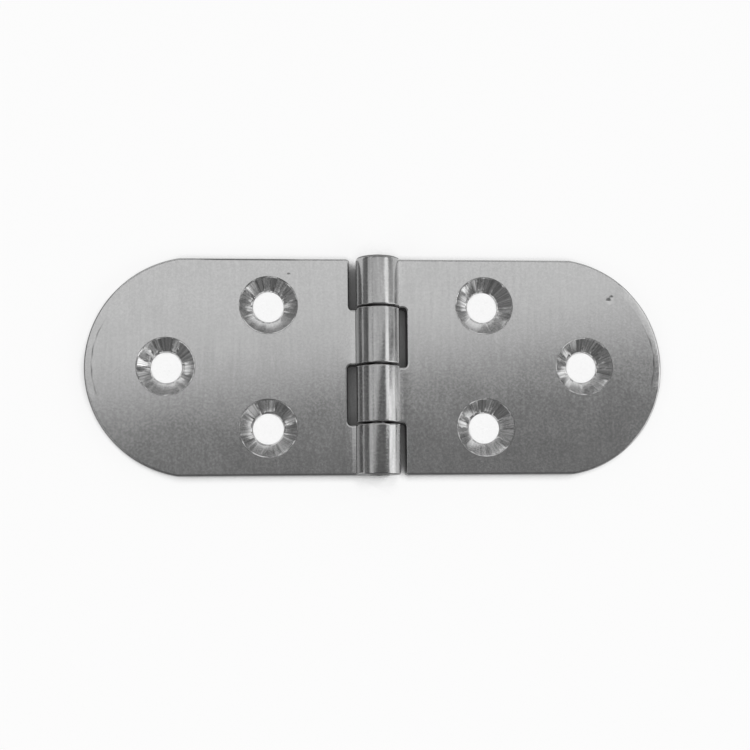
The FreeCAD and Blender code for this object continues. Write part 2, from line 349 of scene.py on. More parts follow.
def countersink_tree():
    """Geometry Nodes that cut a faceted cone into each open hole of a stamping."""
    tree, given, made = named_tree(
        "Cut countersinks", "GeometryNodeTree",
        {"Geometry": GEOMETRY, "Rim Radius": 4.0 * MM, "Rim Height": 1.96 * MM,
         "Throat Radius": 2.17 * MM, "Throat Height": 0.12 * MM, "Around": 120, "Down": 24,
         "Facets": 24, "Chatter Depth": 0.06 * MM, "Facet Lean": 0.4 * MM, "Calm Side": 0.0,
         "Seed": 1, "Cut Steel": METAL},
        {"Geometry": GEOMETRY})
    hole_number = read_attribute(tree, "hole_number", "INT")
    holes, sheet = put(
        tree, "GeometryNodeSeparateGeometry",
        {"Geometry": given["Geometry"], "Selection": hole_number.math("GREATER_THAN", 0.5)},
        domain="POINT")
    here = put(tree, "GeometryNodeInputPosition")[0]
    centres = store(holes, "hole_centre", here, "FLOAT_VECTOR")
    grid = put(
        tree, "GeometryNodeMeshGrid",
        {"Size X": 1.0, "Size Y": 1.0, "Vertices X": given["Around"] + 1,
         "Vertices Y": given["Down"]})["Mesh"]
    grid = store(grid, "round_and_down", here, "FLOAT_VECTOR")
    bowls = realize(put(
        tree, "GeometryNodeInstanceOnPoints", {"Points": centres, "Instance": grid})[0])

    # Places on the cone, as shares of the way round and down.
    across, deep, _ = separate(read_attribute(tree, "round_and_down", "FLOAT_VECTOR"))
    turn, down = across + 0.5, deep + 0.5
    angle = turn * FULL_TURN
    facet = turn * given["Facets"]
    first = facet.math("FLOOR").math("MODULO", given["Facets"])
    second = (first + 1.0).math("MODULO", given["Facets"])
    along_facet = facet.math("FRACT")
    hole_seed = given["Seed"] + hole_number * HOLE_STRIDE

    def chance(number):
        """A fixed random share for a number, differing from hole to hole."""
        return put(
            tree, "ShaderNodeTexWhiteNoise", {"W": hole_seed + number},
            noise_dimensions="1D")["Value"]

    # Each mark has its own height and its own lean, which run on into the next mark's.
    height = mix(along_facet, chance(first), chance(second))
    lean = mix(
        ramp(along_facet, 0.6, 1.0, shape="LINEAR"), chance(first + LEAN_STRIDE),
        chance(second + LEAN_STRIDE))
    half_facet = math.pi / given["Facets"]
    off_middle = (along_facet - 0.5) * (half_facet * 2.0)
    flatness = half_facet.math("COSINE") / off_middle.math("COSINE")

    # The marks fade out at the rim and the throat, and lean less on the calm side.
    window = ramp(down, 0.0, 0.08) * ramp(down, 1.0, 0.92)
    past_calm = angle - given["Calm Side"]
    from_calm = past_calm.math("COSINE")
    rough_side = ramp(from_calm, 1.0, 0.0, 0.2, 1.0)
    tip = (ramp(lean, 0.3, 0.7) - 0.5) * (
        (0.12 - down) * (given["Facet Lean"] * rough_side))
    push = (height * given["Chatter Depth"] + tip) * (window * math.sqrt(0.5))
    cone_radius = mix(down, given["Rim Radius"], given["Throat Radius"])
    radius = cone_radius * mix(window, 1.0, flatness) + push
    level = mix(down, given["Rim Height"], given["Throat Height"]) - push
    on_cone = combine(radius * angle.math("COSINE"), radius * angle.math("SINE"), level)
    hole_centre = read_attribute(tree, "hole_centre", "FLOAT_VECTOR")
    bowls = move_points(bowls, vector_math("ADD", on_cone, hole_centre))
    bowls = store(bowls, "is_bowl", True, "BOOLEAN", "FACE")
    round_cone = combine(from_calm, past_calm.math("SINE"), hole_seed * 0.31)
    bowls = store(bowls, "round_cone", round_cone, "FLOAT_VECTOR")
    joined = put(tree, "GeometryNodeJoinGeometry", {0: [bowls, sheet]})[0]
    welded = put(
        tree, "GeometryNodeMergeByDistance", {"Geometry": joined, "Distance": 0.002 * MM})[0]
    is_bowl = read_attribute(tree, "is_bowl", "BOOLEAN")
    plug(made, {0: set_material(realize(welded), is_bowl, given["Cut Steel"])})
    return tree


def rolling_tree():
    """Geometry Nodes that roll a stamping's tongues round the pin and give it its finishes."""
    tree, given, made = named_tree(
        "Roll knuckles", "GeometryNodeTree",
        {"Geometry": GEOMETRY, "Pin Height": 3.0 * MM, "Neutral Radius": 2.0 * MM,
         "Gauge": 2.0 * MM, "Ripple Depth": 0.01 * MM, "Pattern Shift": 0.0,
         "Leaf Steel": METAL, "Shaded Sheared Steel": METAL},
        {"Geometry": GEOMETRY})
    shift, pin_height = given["Pattern Shift"], given["Pin Height"]
    flat = put(tree, "GeometryNodeInputPosition")[0]
    shifted = vector_math("ADD", flat, combine(0.0, shift, 0.0))
    kept = store(given["Geometry"], "flat", shifted, "FLOAT_VECTOR")
    along, across, thick = separate(flat)
    angle = (along * -1.0).math("MAXIMUM", 0.0) / given["Neutral Radius"]
    ripple_place = combine(
        along * (1 / (0.9 * MM)), (across + shift) * (1 / (9 * MM)), 0.0)
    wave = noise(ripple_place, 1.0, 1.0, 0.5)
    rolled = ramp(angle, 0.3, 0.9)
    outside = ramp(thick, given["Gauge"], 0.0, shape="LINEAR")
    dip = (wave * given["Ripple Depth"]) * (rolled * outside)
    radius = pin_height - thick - dip
    bent = combine(
        along.math("MAXIMUM", 0.0) - radius * angle.math("SINE"), across,
        pin_height - radius * angle.math("COSINE"))
    bowl = read_attribute(tree, "is_bowl", "BOOLEAN")
    plain = put(tree, "FunctionNodeBooleanMath", {0: bowl}, operation="NOT")[0]
    faced = set_material(realize(move_points(kept, bent)), plain, given["Leaf Steel"])
    sheared = read_attribute(tree, "is_sheared", "BOOLEAN")
    plug(made, {0: set_material(faced, sheared, given["Shaded Sheared Steel"])})
    return tree


# ---------------------------------------------------------------- finishes

def brush_group():
    """Shader group: long fine marks that a brush or a roll leaves along the pin."""
    tree, given, made = named_tree(
        "Brush marks", "ShaderNodeTree",
        {"Place": VECTOR, "Spacing": 0.16 * MM, "Length": 5 * MM},
        {"Height": NUMBER, "Tone": NUMBER})

    def marks(spread, detail):
        across = 1.0 / (given["Spacing"] * spread)
        along = 1.0 / (given["Length"] * spread)
        scaled = vector_math("MULTIPLY", given["Place"], combine(across, along, across))
        return noise(scaled, 1.0, detail, 0.6)

    fine, broad = marks(1.0, 2.0), marks(3.2, 1.0)
    plug(made, {"Height": fine, "Tone": mix(0.7, fine, broad)})
    return tree


def wear_group():
    """Shader group: fine specks and soft smudges from handling."""
    tree, given, made = named_tree(
        "Handling wear", "ShaderNodeTree",
        {"Place": VECTOR, "Speck Size": 0.25 * MM, "Smudge Size": 6 * MM},
        {"Specks": NUMBER, "Smudges": NUMBER})

    def cloud(size, detail):
        return noise(given["Place"], 1.0 / size, detail, 0.55)

    plug(made, {
        "Specks": ramp(cloud(given["Speck Size"], 2.0), 0.35, 0.7),
        "Smudges": ramp(cloud(given["Smudge Size"], 3.0), 0.3, 0.7)})
    return tree


def new_material(name):
    """An empty material, its tree and its shader."""
    material = bpy.data.materials.new(name)
    material.use_nodes = True
    return material, material.node_tree, material.node_tree.nodes["Principled BSDF"]


def new_steel(name, anisotropic=0.0):
    """An empty metal: its tree and its shader."""
    _, tree, shader = new_material(name)
    plug(shader, {"Metallic": 1.0, "Anisotropic": anisotropic})
    return tree, shader


def painted(tree, name, output="Vector"):
    """A named attribute inside a material."""
    return put(tree, "ShaderNodeAttribute", attribute_name=name)[output]


def tint(shader, steel, tone, depth, kept=1.0):
    """Base colour: the steel's own colour, darker and lighter by the tone."""
    swing = depth * ramp(tone, 0.25, 0.75, -1.0, 1.0, "LINEAR")
    level = kept * (1.0 + swing)
    plug(shader, {"Base Color": vector_math(
        "MULTIPLY", tuple(steel), combine(level, level, level))})


def bump(shader, height, distance=1.0):
    """Feeds a height to the shader's normal."""
    inputs = {"Height": height, "Strength": 1.0, "Distance": distance}
    plug(shader, {"Normal": put(height.tree, "ShaderNodeBump", inputs)[0]})


def worn(groups, place, speck, smudge=6 * MM):
    """The outputs of the wear group at a place, for specks and smudges of some size."""
    inputs = {"Place": place, "Speck Size": speck, "Smudge Size": smudge}
    return put(place.tree, "ShaderNodeGroup", inputs, node_tree=groups["wear"])


def brushed(groups, place, spacing, length):
    """The outputs of the brush group at a place."""
    inputs = {"Place": place, "Spacing": spacing, "Length": length}
    return put(place.tree, "ShaderNodeGroup", inputs, node_tree=groups["brush"])


def on_tongue(along):
    """How far a place is onto a tongue, from 0 on the leaf to 1 where it is rolled."""
    return ramp(along, 0.6 * MM, -1.5 * MM)


def leaf_material(finish, groups):
    """Brushed sheet that gets smoother and streakier where it is rolled into a knuckle."""
    tree, shader = new_steel("Brushed leaf steel", 0.75)
    place = painted(tree, "flat")
    brush = brushed(groups, place, finish.grain_spacing, finish.grain_length)
    wear = worn(groups, place, finish.speck_size)
    rolled = on_tongue(separate(place)[0])
    # Rolled knuckles keep a share of the steel's colour, and painted shade darkens the creased tip
    # bend and one long edge.
    kept = mix(rolled, 1.0, finish.knuckle_shade) * (1.0 - painted(tree, "crease_shade", "Fac") * 0.75)
    speck = ramp(wear["Specks"], 0.0, 1.0, -0.5, 0.5, "LINEAR")
    kept = kept * (1.0 + speck * 0.12)
    tint(shader, finish.steel, brush["Tone"], mix(rolled, 0.05, 0.22), kept)
    smudge = ramp(wear["Smudges"], 0.0, 1.0, -0.015, 0.02, "LINEAR")
    rough = mix(rolled, finish.leaf_roughness, finish.knuckle_roughness)
    plug(shader, {
        "Roughness": rough + (smudge + speck * 0.04),
        "Tangent": put(
            tree, "ShaderNodeTangent", direction_type="UV_MAP", uv_map="Flat pattern")[0]})
    bump(shader, brush["Height"] * finish.grain_depth + wear["Specks"] * finish.speck_depth)


# Beyond the first of these places along the pin, an edge no longer counts as inside a gap.
BARREL_END = (14.8 * MM, 14.4 * MM)


def shaded_sheared_material(finish, groups):
    """Punched edge: a bright burnished band over a dull torn one, its colour darkened as painted
    shade, less so inside a knuckle gap, where the lighter colour is painted light.
    """
    tree, shader = new_steel("Shaded sheared edge steel")
    place = painted(tree, "flat")
    wear = worn(groups, place, 0.12 * MM, 2 * MM)
    along, _, thick = separate(place)
    torn = ramp(thick, 1.15 * MM, 1.0 * MM)
    across = separate(put(tree, "ShaderNodeTexCoord")["Object"])[1]
    barrel_end = ramp(across.math("ABSOLUTE"), *BARREL_END)
    # Painted light: inside a knuckle gap the edge is darkened only to the gap share, so the gap
    # shows lighter.
    in_gap = on_tongue(along) * barrel_end
    # Painted shade: the edge steel's colour is darkened to the edge share.
    tint(shader, finish.steel, wear["Smudges"], 0.07,
         mix(in_gap, finish.edge_painted_shade, finish.gap_painted_shade))
    plug(shader, {"Roughness": mix(torn, 0.30, 0.45) + wear["Specks"] * 0.08})
    bump(shader, wear["Specks"] * mix(torn, 0.15, 1.0), 0.012 * MM)


def cut_material(finish, groups):
    """Machined countersink: bright, with spokes and faint rings from the cutter."""
    tree, shader = new_steel("Countersunk steel")
    place = painted(tree, "flat")
    wear = worn(groups, place, 0.2 * MM, 1.5 * MM)
    rings = (separate(place)[2] * (FULL_TURN / (0.17 * MM))).math("SINE")
    turned = painted(tree, "round_cone")
    spokes = noise(turned, 12.0, 3.0, 0.7)
    from_calm = separate(turned)[0]
    tint(shader, finish.cut_steel, spokes, ramp(from_calm, 1.0, 0.1, 0.12, 0.62))
    plug(shader, {"Roughness": 0.17 + wear["Specks"] * 0.08})
    bump(shader, spokes * (0.007 * MM) + (wear["Specks"] + rings) * (0.0004 * MM))


def pin_material(finish, groups):
    """Drawn and peened pin."""
    tree, shader = new_steel("Pin steel")
    place = put(tree, "ShaderNodeTexCoord")["Object"]
    wear = worn(groups, place, 0.15 * MM, 0.9 * MM)
    brush = brushed(groups, place, 0.12 * MM, 2 * MM)
    tint(shader, finish.pin_steel, wear["Smudges"], 0.10)
    plug(shader, {"Roughness": 0.2 + wear["Smudges"] * 0.12})
    bump(shader, brush["Height"] + wear["Specks"], 0.004 * MM)


def metals():
    """The finishes, made once and then shared."""
    if "Brushed leaf steel" not in bpy.data.materials:
        finish = bpy.context.scene.hinge_finish
        groups = {"brush": brush_group(), "wear": wear_group()}
        for make in (leaf_material, shaded_sheared_material, cut_material, pin_material):
            make(finish, groups)
    return bpy.data.materials


def add_object(name, data):
    """A new object in the scene."""
    made = bpy.data.objects.new(name, data)
    bpy.context.scene.collection.objects.link(made)
    return made


# ---------------------------------------------------------------- the flat stamping

def smooth(low, high, value):
    """Rises smoothly from nothing at low to one at high."""
    x = min(max((value - low) / (high - low), 0.0), 1.0)
    return x * x * (3 - 2 * x)


def arc(centre, radius, start, end, step):
    """Points on an arc, from angle start to angle end in degrees."""
    count = max(2, math.ceil(abs(end - start) / step))
    angles = [math.radians(start + (end - start) * i / count) for i in range(count + 1)]
    return [(centre[0] + radius * math.cos(a), centre[1] + radius * math.sin(a)) for a in angles]


class Stamping:
    """One leaf before rolling, in millimetres.

    S runs along the sheet: positive on the leaf, negative on the tongues. Y runs along the pin,
    and T through the sheet, from 0 on the back to the gauge on the face.
    """

    # Points round a hole and along a rolled tongue, and the steps of arcs in degrees.
    HOLE_POINTS, ROLL_STEPS = 120, 96
    COARSE, FINE = 15, 2
    # A flat guard beside a rounding, how far a torn wall stands back, and where through the sheet
    # its burnished band ends and its torn one begins.
    GUARD, WALL_INSET, BURNISHED, TORN = 0.06, 0.02, 1.15, 1.02
    # Between which steps of a rib the edge steel with painted shade lies: the sheared wall of an
    # edge with the outer part of its roundings, a rim's chamfer and a screw hole's wall.
    WALL_STEPS, RIM_STEPS, LAND_STEPS = (3, 12), (1, 9), (0, 9)
    # Lines, lattices and rings of points on the faces.
    LINE_MARGIN, EDGE_STEP = 0.03, 1.2
    FOOT_LINES = (0.3, 0.8, 1.4, 2.0, 2.5, 2.88, 2.94, 3.02, 3.08, 3.3)
    HEEL_BROW = (2.93, 3.02)
    TONGUE_MARGIN, TONGUE_STEP, TONGUE_STOP = 0.85, 0.9, 3.7
    HOLE_MARGIN, DING_MARGIN, TIP_MARGIN = 0.75, 1.6, (0.9, 1.9)
    LEAF_START, LEAF_ROWS, LEAF_SIDE = 4.9, 35, 14
    TIP_ARC, TIP_STEP = 48, 1.2
    TIP_RINGS = (0.48, 0.62, 0.76, 0.88, 0.96, 1.02, 1.08, 1.14, 1.2, 1.27, 1.34, 1.42)
    DING_RINGS = (0.3, 0.6, 0.85, 1.0, 1.25)

    def __init__(self, sizes, reamed, marks):
        for name in HingeSizes.__annotations__:
            setattr(self, name, getattr(sizes, name) * (1 if name == "facets" else 1 / MM))
        self.play = self.ream if reamed else 0.0
        self.end_round = self.rim_round if reamed else self.foot_round
        self.marks = marks
        barrel = self.pin_height
        sag = math.asin((barrel - self.gauge - self.seam_gap) / barrel)
        self.neutral = barrel - self.gauge / 2
        self.tongue_end = -self.neutral * (1.5 * math.pi + sag)
        gap = self.knuckle_gap / 2
        self.tongues = [
            (-self.knuckle_pitch + gap, -gap), (self.knuckle_pitch + gap, self.half_width)]
        self.tip_radius = self.half_width + self.tip_excess
        self.tip_centre = self.leaf_reach - self.tip_radius
        reach, pitch = NEAR_HOLES["pos_m"][0] / MM, NEAR_HOLES["dims"]["spacing_y_mm"] / 2
        self.holes = [(reach, pitch), (reach, -pitch), (FAR_HOLE["pos_m"][0] / MM, 0.0)]
        heel = barrel + self.heel_width
        self.straight_lines = [*self.FOOT_LINES, heel - self.GUARD, heel]
        self.points, self.faces, self.painted_shade_faces = [], [], []

    def lattice(self, low, high):
        """Values of S at which a tongue has a line of points, between two limits."""
        step, margin = -self.tongue_end / self.ROLL_STEPS, self.LINE_MARGIN
        lines = [self.tongue_end + i * step for i in range(self.ROLL_STEPS + 1)]
        return [s for s in lines + self.straight_lines if low + margin < s < high - margin]

    def edge(self, y, start, end):
        """Points along an edge parallel to S, from start to end."""
        low, high = min(start, end), max(start, end)
        inner = self.lattice(low, high)
        last = self.straight_lines[-1]
        count = int((high - max(low, last)) / self.EDGE_STEP)
        if high > last + 1 and count:
            step = (high - last) / (count + 1)
            inner += [last + step * (i + 1) for i in range(count)]
        return [(s, y) for s in sorted([low, *inner, high], reverse=end < start)]

    def outline(self):
        """The stamping's outline, anticlockwise."""
        half, corner, fillet = self.half_width, self.tongue_corner, self.slot_corner
        blend = self.tip_corner
        blend_y = half - blend
        blend_s = self.tip_centre + math.sqrt((self.tip_radius - blend) ** 2 - blend_y ** 2)
        turn = math.degrees(math.atan2(blend_y, blend_s - self.tip_centre))
        cut = self.tongue_end + corner
        inner, outer = self.tongues
        inner_slot, end_slot = self.inner_slot - fillet, self.end_slot - fillet
        slot_arc = arc((inner_slot, inner[1] + fillet), fillet, 0, -90, self.COARSE)
        path = arc((self.end_slot + corner, corner - half), corner, 180, 270, self.COARSE)
        path += self.edge(-half, self.end_slot + corner, blend_s)
        path += arc((blend_s, -blend_y), blend, -90, -turn, self.FINE)
        path += arc((self.tip_centre, 0.0), self.tip_radius, -turn, turn, self.FINE)
        path += arc((blend_s, blend_y), blend, turn, 90, self.FINE)
        for (low, high), start, slot, after in (
                (outer, blend_s, inner_slot, slot_arc), (inner, inner_slot, end_slot, [])):
            path += self.edge(high, start, cut)
            path += arc((cut, high - corner), corner, 90, 180, self.COARSE)
            path += arc((cut, low + corner), corner, 180, 270, self.COARSE)
            path += self.edge(low, cut, slot)
            path += arc((slot, low - fillet), fillet, 90, 0, self.COARSE) + after
        kept = []
        for point in path:
            if not kept or math.dist(point, kept[-1]) > 1e-4:
                kept.append(point)
        if math.dist(kept[0], kept[-1]) < 1e-4:
            kept.pop()
        return [self.waver(*point) for point in kept]

    def waver(self, s, y):
        """Moves a point beside a knuckle gap a little way inward, as a hand-set shear would."""
        for tongue_low, tongue_high in self.tongues:
            for side, inward in ((tongue_low, 1), (tongue_high, -1)):
                if abs(y - side) < 1e-6 and abs(side) < self.half_width and s < 0:
                    fade = smooth(0.0, -1.0, s) * smooth(self.tongue_end + 0.4, -8.0, s)
                    swing = 0.5 + 0.3 * math.sin(2.3 * s + 1.7 * side)
                    swing += 0.2 * math.sin(5.6 * s + 0.9 * side)
                    return s, y + inward * self.gap_waver * fade * swing
        return s, y

    def tip_inset(self, s, y):
        """How far a point lies inside the circle of the rounded tip."""
        return self.tip_radius - math.hypot(s - self.tip_centre, y)

    def face_height(self, s, y):
        """Height of the upper face: flat, but for the heel, the reamed bore and marks of use."""
        height = self.gauge - self.play * smooth(0.4, 0.1, s)
        foot = self.pin_height + self.heel_width
        if s < foot:
            low, high = self.HEEL_BROW
            rise = min(1.0, (foot - s) / (foot - high)) * smooth(low, high, s)
            height += self.heel_height * rise
        inset = self.tip_inset(s, y)
        if s > self.tip_centre and inset < 1.2:
            step, drop = self.marks["tip_step"], self.marks["tip_drop"]
            fall = step * smooth(1.12, 1.0, inset) + drop * (1.0 - min(inset, 1.0)) ** 2
            height -= fall * self.near_bend(y)
        for at_s, at_y, radius, depth in self.marks["dings"]:
            away = math.hypot(s - at_s, y - at_y) / radius
            if away < 1:
                height -= depth * (1 - away * away) ** 2
        return height

    def near_bend(self, y):
        """How fully the bend at the tip shows at a place along the pin, from 0 to 1."""
        low, high = self.marks["tip_bend"]
        return smooth(low - 0.6, low + 1.2, y) * smooth(high + 0.6, high - 1.2, y)

    def crease_shade(self, s, y, t):
        """How dark the painted shade is at a point, along the creased bend of the tip or along a
        lower edge, from 0 to 1.
        """
        if t < self.gauge / 2:
            return 0.0
        start, stop = self.marks["worn_edge"]
        if start < s < stop and -self.half_width + 0.01 < y < -self.half_width + 0.25:
            return 0.9 * smooth(start, start + 1.5, s) * smooth(stop, stop - 1.5, s)
        if s < self.tip_centre:
            return 0.0
        low, high = self.marks["tip_crease"]
        if not low < y < high:
            return 0.0
        off_middle = (2 * y - low - high) / (high - low)
        middle = 1.02 + 0.28 * off_middle ** 2 + 0.03 * math.sin(3.1 * y)
        depth = (0.65 + 0.35 * math.sin(2.3 * y)) * (1 - off_middle ** 4)
        return max(0.0, 1.0 - abs(self.tip_inset(s, y) - middle) / 0.14) * depth

    def back_round(self, s, y):
        """How far the edge on the back, which is the outside of a knuckle, is rounded."""
        end = self.tongue_end
        if s < end + 0.1:
            return self.seam_edge
        rolled = smooth(1.5, -0.5, s)
        size = self.knuckle_edge
        if y > self.half_width - 0.01:
            size += (self.end_round - size) * smooth(end + 0.5, end + 1.4, s)
        size = self.seam_edge + (size - self.seam_edge) * smooth(end + 0.1, end + 0.5, s)
        return self.back_edge + (size - self.back_edge) * rolled

    def rib(self, point, inward):
        """Points from the upper face over the edge to the back, at one place on the outline."""
        roll, low, lean = self.edge_roll, self.back_round(*point), self.WALL_INSET

        def top(d):
            return self.face_height(point[0] + inward[0] * d, point[1] + inward[1] * d)

        steps = [(roll + self.GUARD, top(roll + self.GUARD))]
        for i in range(6):
            a = math.radians(18 * i)
            d = roll * (1 - math.sin(a))
            steps.append((d, top(d) - roll * (1 - math.cos(a))))
        steps += [(0.0, self.BURNISHED), (lean, self.TORN)]
        for i in range(5):
            a = math.radians(22.5 * i)
            steps.append((lean + low * (1 - math.cos(a)), low * (1 - math.sin(a))))
        steps.append((lean + low + self.GUARD, 0.0))
        return [(point[0] + inward[0] * d, point[1] + inward[1] * d, t) for d, t in steps]

    def strip(self, ribs, sheared):
        """Joins a closed row of ribs with faces, and returns the first and last ring.

        The two numbers of sheared say between which steps of a rib the faces take the edge steel
        with painted shade.
        """
        base, high = len(self.points), len(ribs[0])
        for rib in ribs:
            self.points += rib
        count = len(ribs)
        for i in range(count):
            a, b = base + i * high, base + (i + 1) % count * high
            for k in range(high - 1):
                self.faces.append((a + k, a + k + 1, b + k + 1, b + k))
                self.painted_shade_faces.append(sheared[0] <= k < sheared[1])
        first = [base + i * high for i in range(count)]
        return first, [index + high - 1 for index in first]

    def cap(self, loops, upper):
        """Fills the area between an outer ring and the rings of the holes."""
        edges, flat, index_of = [], [], []
        for loop in loops:
            start = len(flat)
            flat += [Vector(self.points[i][:2]) for i in loop]
            index_of += loop
            edges += [(start + i, start + (i + 1) % len(loop)) for i in range(len(loop))]
        ring = {frozenset((index_of[a], index_of[b])) for a, b in edges}
        for s, y in self.inner_points(upper):
            index_of.append(len(self.points))
            self.points.append((s, y, self.face_height(s, y) if upper else 0.0))
            flat.append(Vector((s, y)))
        _, _, faces, origin, _, _ = delaunay_2d_cdt(flat, edges, [], 1, 1e-6, True)
        faces = [tuple(index_of[origin[i][0]] for i in face) for face in faces]
        for face in self.within(faces, ring):
            self.faces.append(face if upper else face[::-1])
            self.painted_shade_faces.append(False)

    @staticmethod
    def within(faces, ring):
        """The triangles between the rings: crossing a ring goes from outside to inside, or back."""
        beside = {}
        for i, face in enumerate(faces):
            for a, b in zip(face, face[1:] + face[:1]):
                beside.setdefault(frozenset((a, b)), []).append(i)
        inside, queue = {}, []
        for side, pair in beside.items():
            if len(pair) == 1 and pair[0] not in inside:
                inside[pair[0]] = side in ring
                queue.append(pair[0])
        while queue:
            i = queue.pop()
            face = faces[i]
            for a, b in zip(face, face[1:] + face[:1]):
                side = frozenset((a, b))
                for j in beside[side]:
                    if j not in inside:
                        inside[j] = inside[i] != (side in ring)
                        queue.append(j)
        return [face for i, face in enumerate(faces) if inside[i]]

    def inner_points(self, upper):
        """Points inside a face: a lattice, with rings round marks on the upper face."""
        found = []
        for low, high in self.tongues:
            span = high - low - 2 * self.TONGUE_MARGIN
            columns = max(2, round(span / self.TONGUE_STEP))
            across = [
                low + self.TONGUE_MARGIN + span * i / columns for i in range(columns + 1)]
            lines = self.lattice(self.tongue_end + 0.5, self.TONGUE_STOP)
            found += [(s, y) for s in lines for y in across]
        hole = (self.sink if upper else self.throat) + self.HOLE_MARGIN
        marks = self.marks["dings"] if upper else []

        def clear(s, y):
            if any(math.dist((s, y), centre) < hole for centre in self.holes):
                return False
            if any(math.dist((s, y), mark[:2]) < mark[2] * self.DING_MARGIN for mark in marks):
                return False
            return s < self.tip_centre or self.tip_inset(s, y) > self.TIP_MARGIN[upper]

        for i in range(self.LEAF_ROWS):
            for j in range(-self.LEAF_SIDE, self.LEAF_SIDE + 1):
                s, y = self.LEAF_START + i, float(j)
                if clear(s, y):
                    found.append((s, y))
        if upper:
            for inset in self.TIP_RINGS:
                radius = self.tip_radius - inset
                found += arc(
                    (self.tip_centre, 0.0), radius, -self.TIP_ARC, self.TIP_ARC, self.TIP_STEP)
        for at_s, at_y, radius, _ in marks:
            found.append((at_s, at_y))
            for part in self.DING_RINGS:
                found += arc((at_s, at_y), radius * part, 0, 360, 30)[:-1]
        return found

    def build(self):
        """The closed stamping, open only where the countersinks come."""
        path = self.outline()
        count = len(path)
        ribs = []
        for i, point in enumerate(path):
            before, after = path[i - 1], path[(i + 1) % count]
            one = Vector((point[0] - before[0], point[1] - before[1])).normalized()
            two = Vector((after[0] - point[0], after[1] - point[1])).normalized()
            along = (one + two).normalized()
            ribs.append(self.rib(point, (-along.y, along.x)))
        front, back = self.strip(ribs, self.WALL_STEPS)
        fronts, backs = [front], [back]
        sink, throat, gauge = self.sink, self.throat, self.gauge
        rim = [(sink + 0.11, gauge), (sink, gauge), (sink - 0.04, gauge - 0.04)]
        self.cone = (*rim[-1], throat + 0.02, gauge - (sink - throat - 0.02))
        land = [self.cone[2:], (throat, self.cone[3] - 0.03), (throat, 0.03),
                (throat + 0.03, 0.0), (throat + 0.1, 0.0)]
        for hole in self.holes:
            for profile, rings, keep, painted_shade_faces in (
                    (rim, fronts, 0, self.RIM_STEPS), (land, backs, 1, self.LAND_STEPS)):
                ribs = []
                for i in range(self.HOLE_POINTS):
                    a = FULL_TURN * i / self.HOLE_POINTS
                    ribs.append([
                        (hole[0] + r * math.cos(a), hole[1] + r * math.sin(a), t)
                        for r, t in profile])
                rings.append(self.strip(ribs, painted_shade_faces)[keep])
        self.cap(fronts, True)
        self.cap(backs, False)

    def to_object(self, name):
        """The stamping as an object, with a loose point at the middle of each hole."""
        self.build()
        count = len(self.points)
        points = self.points + [(*hole, 0.0) for hole in self.holes]
        mesh = bpy.data.meshes.new(name)
        mesh.from_pydata([[c * MM for c in p] for p in points], [], self.faces)
        numbers = mesh.attributes.new("hole_number", "INT", "POINT")
        numbers.data.foreach_set(
            "value", [0] * count + [i + 1 for i in range(len(self.holes))])
        sheared = mesh.attributes.new("is_sheared", "BOOLEAN", "FACE")
        sheared.data.foreach_set("value", self.painted_shade_faces)
        crease_shades = mesh.attributes.new("crease_shade", "FLOAT", "POINT")
        crease_shades.data.foreach_set("value", [self.crease_shade(*point) for point in points])
        return add_object(name, mesh)


# Marks of use on each leaf, on its own stamping: where the tip is bent over in the press, and where
# painted shade darkens its creased bend, from low to high along the pin, the step and drop of that
# bend, where painted shade darkens a long edge, from start to stop along the sheet, and small dings
# with their place, radius and depth, all in millimetres.
MOVING_MARKS = {
    "tip_bend": (-2.6, 11.0), "tip_crease": (-2.8, 6.0), "tip_step": 0.006, "tip_drop": 0.085,
    "worn_edge": (0.0, 0.0), "dings": [(32.8, 9.25, 0.5, 0.045), (33.15, 9.75, 0.35, 0.03)]}
FIXED_MARKS = {
    "tip_bend": (-6.2, 3.8), "tip_crease": (-6.6, 4.2), "tip_step": 0.008, "tip_drop": 0.006,
    "worn_edge": (10.6, 24.4), "dings": [(12.2, -12.7, 0.4, 0.025)]}


# Seeds of the cutter marks, the flat pattern's place in its UV map, and the angles between faces
# that show as an edge.
MOVING_SEED, FIXED_SEED = 13, 6
UV_SCALE, UV_SHIFT = 10, (0.2, 0.5)
SHEET_CREASE, CUTTER_CREASE, PIN_CREASE = (math.radians(a) for a in (26, 4.5, 50))


def flatten(item, name):
    """Turns an object and its modifiers into a new object with a plain mesh."""
    graph = bpy.context.evaluated_depsgraph_get()
    mesh = bpy.data.meshes.new_from_object(
        item.evaluated_get(graph), preserve_all_data_layers=True, depsgraph=graph)
    item.modifiers.clear()
    blank = item.data
    bpy.data.objects.remove(item)
    bpy.data.meshes.remove(blank)
    mesh.name = name
    return add_object(name, mesh)


def lay_pattern(mesh):
    """A UV map that is the sheet laid flat, so that the grain follows it round the knuckles."""
    flat = mesh.attributes["flat"].data
    layer = mesh.uv_layers.new(name="Flat pattern")
    for loop in mesh.loops:
        at = flat[loop.vertex_index].vector
        layer.uv[loop.index].vector = (
            at[0] * UV_SCALE + UV_SHIFT[0], at[1] * UV_SCALE + UV_SHIFT[1])


def shade(mesh):
    """Smooth faces, with sharp lines where the steel has an edge or a cutter mark."""
    mesh.shade_smooth()
    mesh.set_sharp_from_angle(angle=SHEET_CREASE)
    sharp = mesh.attributes.get("sharp_edge") or mesh.attributes.new(
        "sharp_edge", "BOOLEAN", "EDGE")
    bowl = mesh.materials.find("Countersunk steel")
    beside = {}
    for polygon in mesh.polygons:
        if polygon.material_index == bowl:
            for key in polygon.edge_keys:
                beside.setdefault(key, []).append(polygon.normal)
    for edge in mesh.edges:
        normals = beside.get(edge.key, [])
        if len(normals) == 2 and normals[0].angle(normals[1], 0.0) > CUTTER_CREASE:
            sharp.data[edge.index].value = True


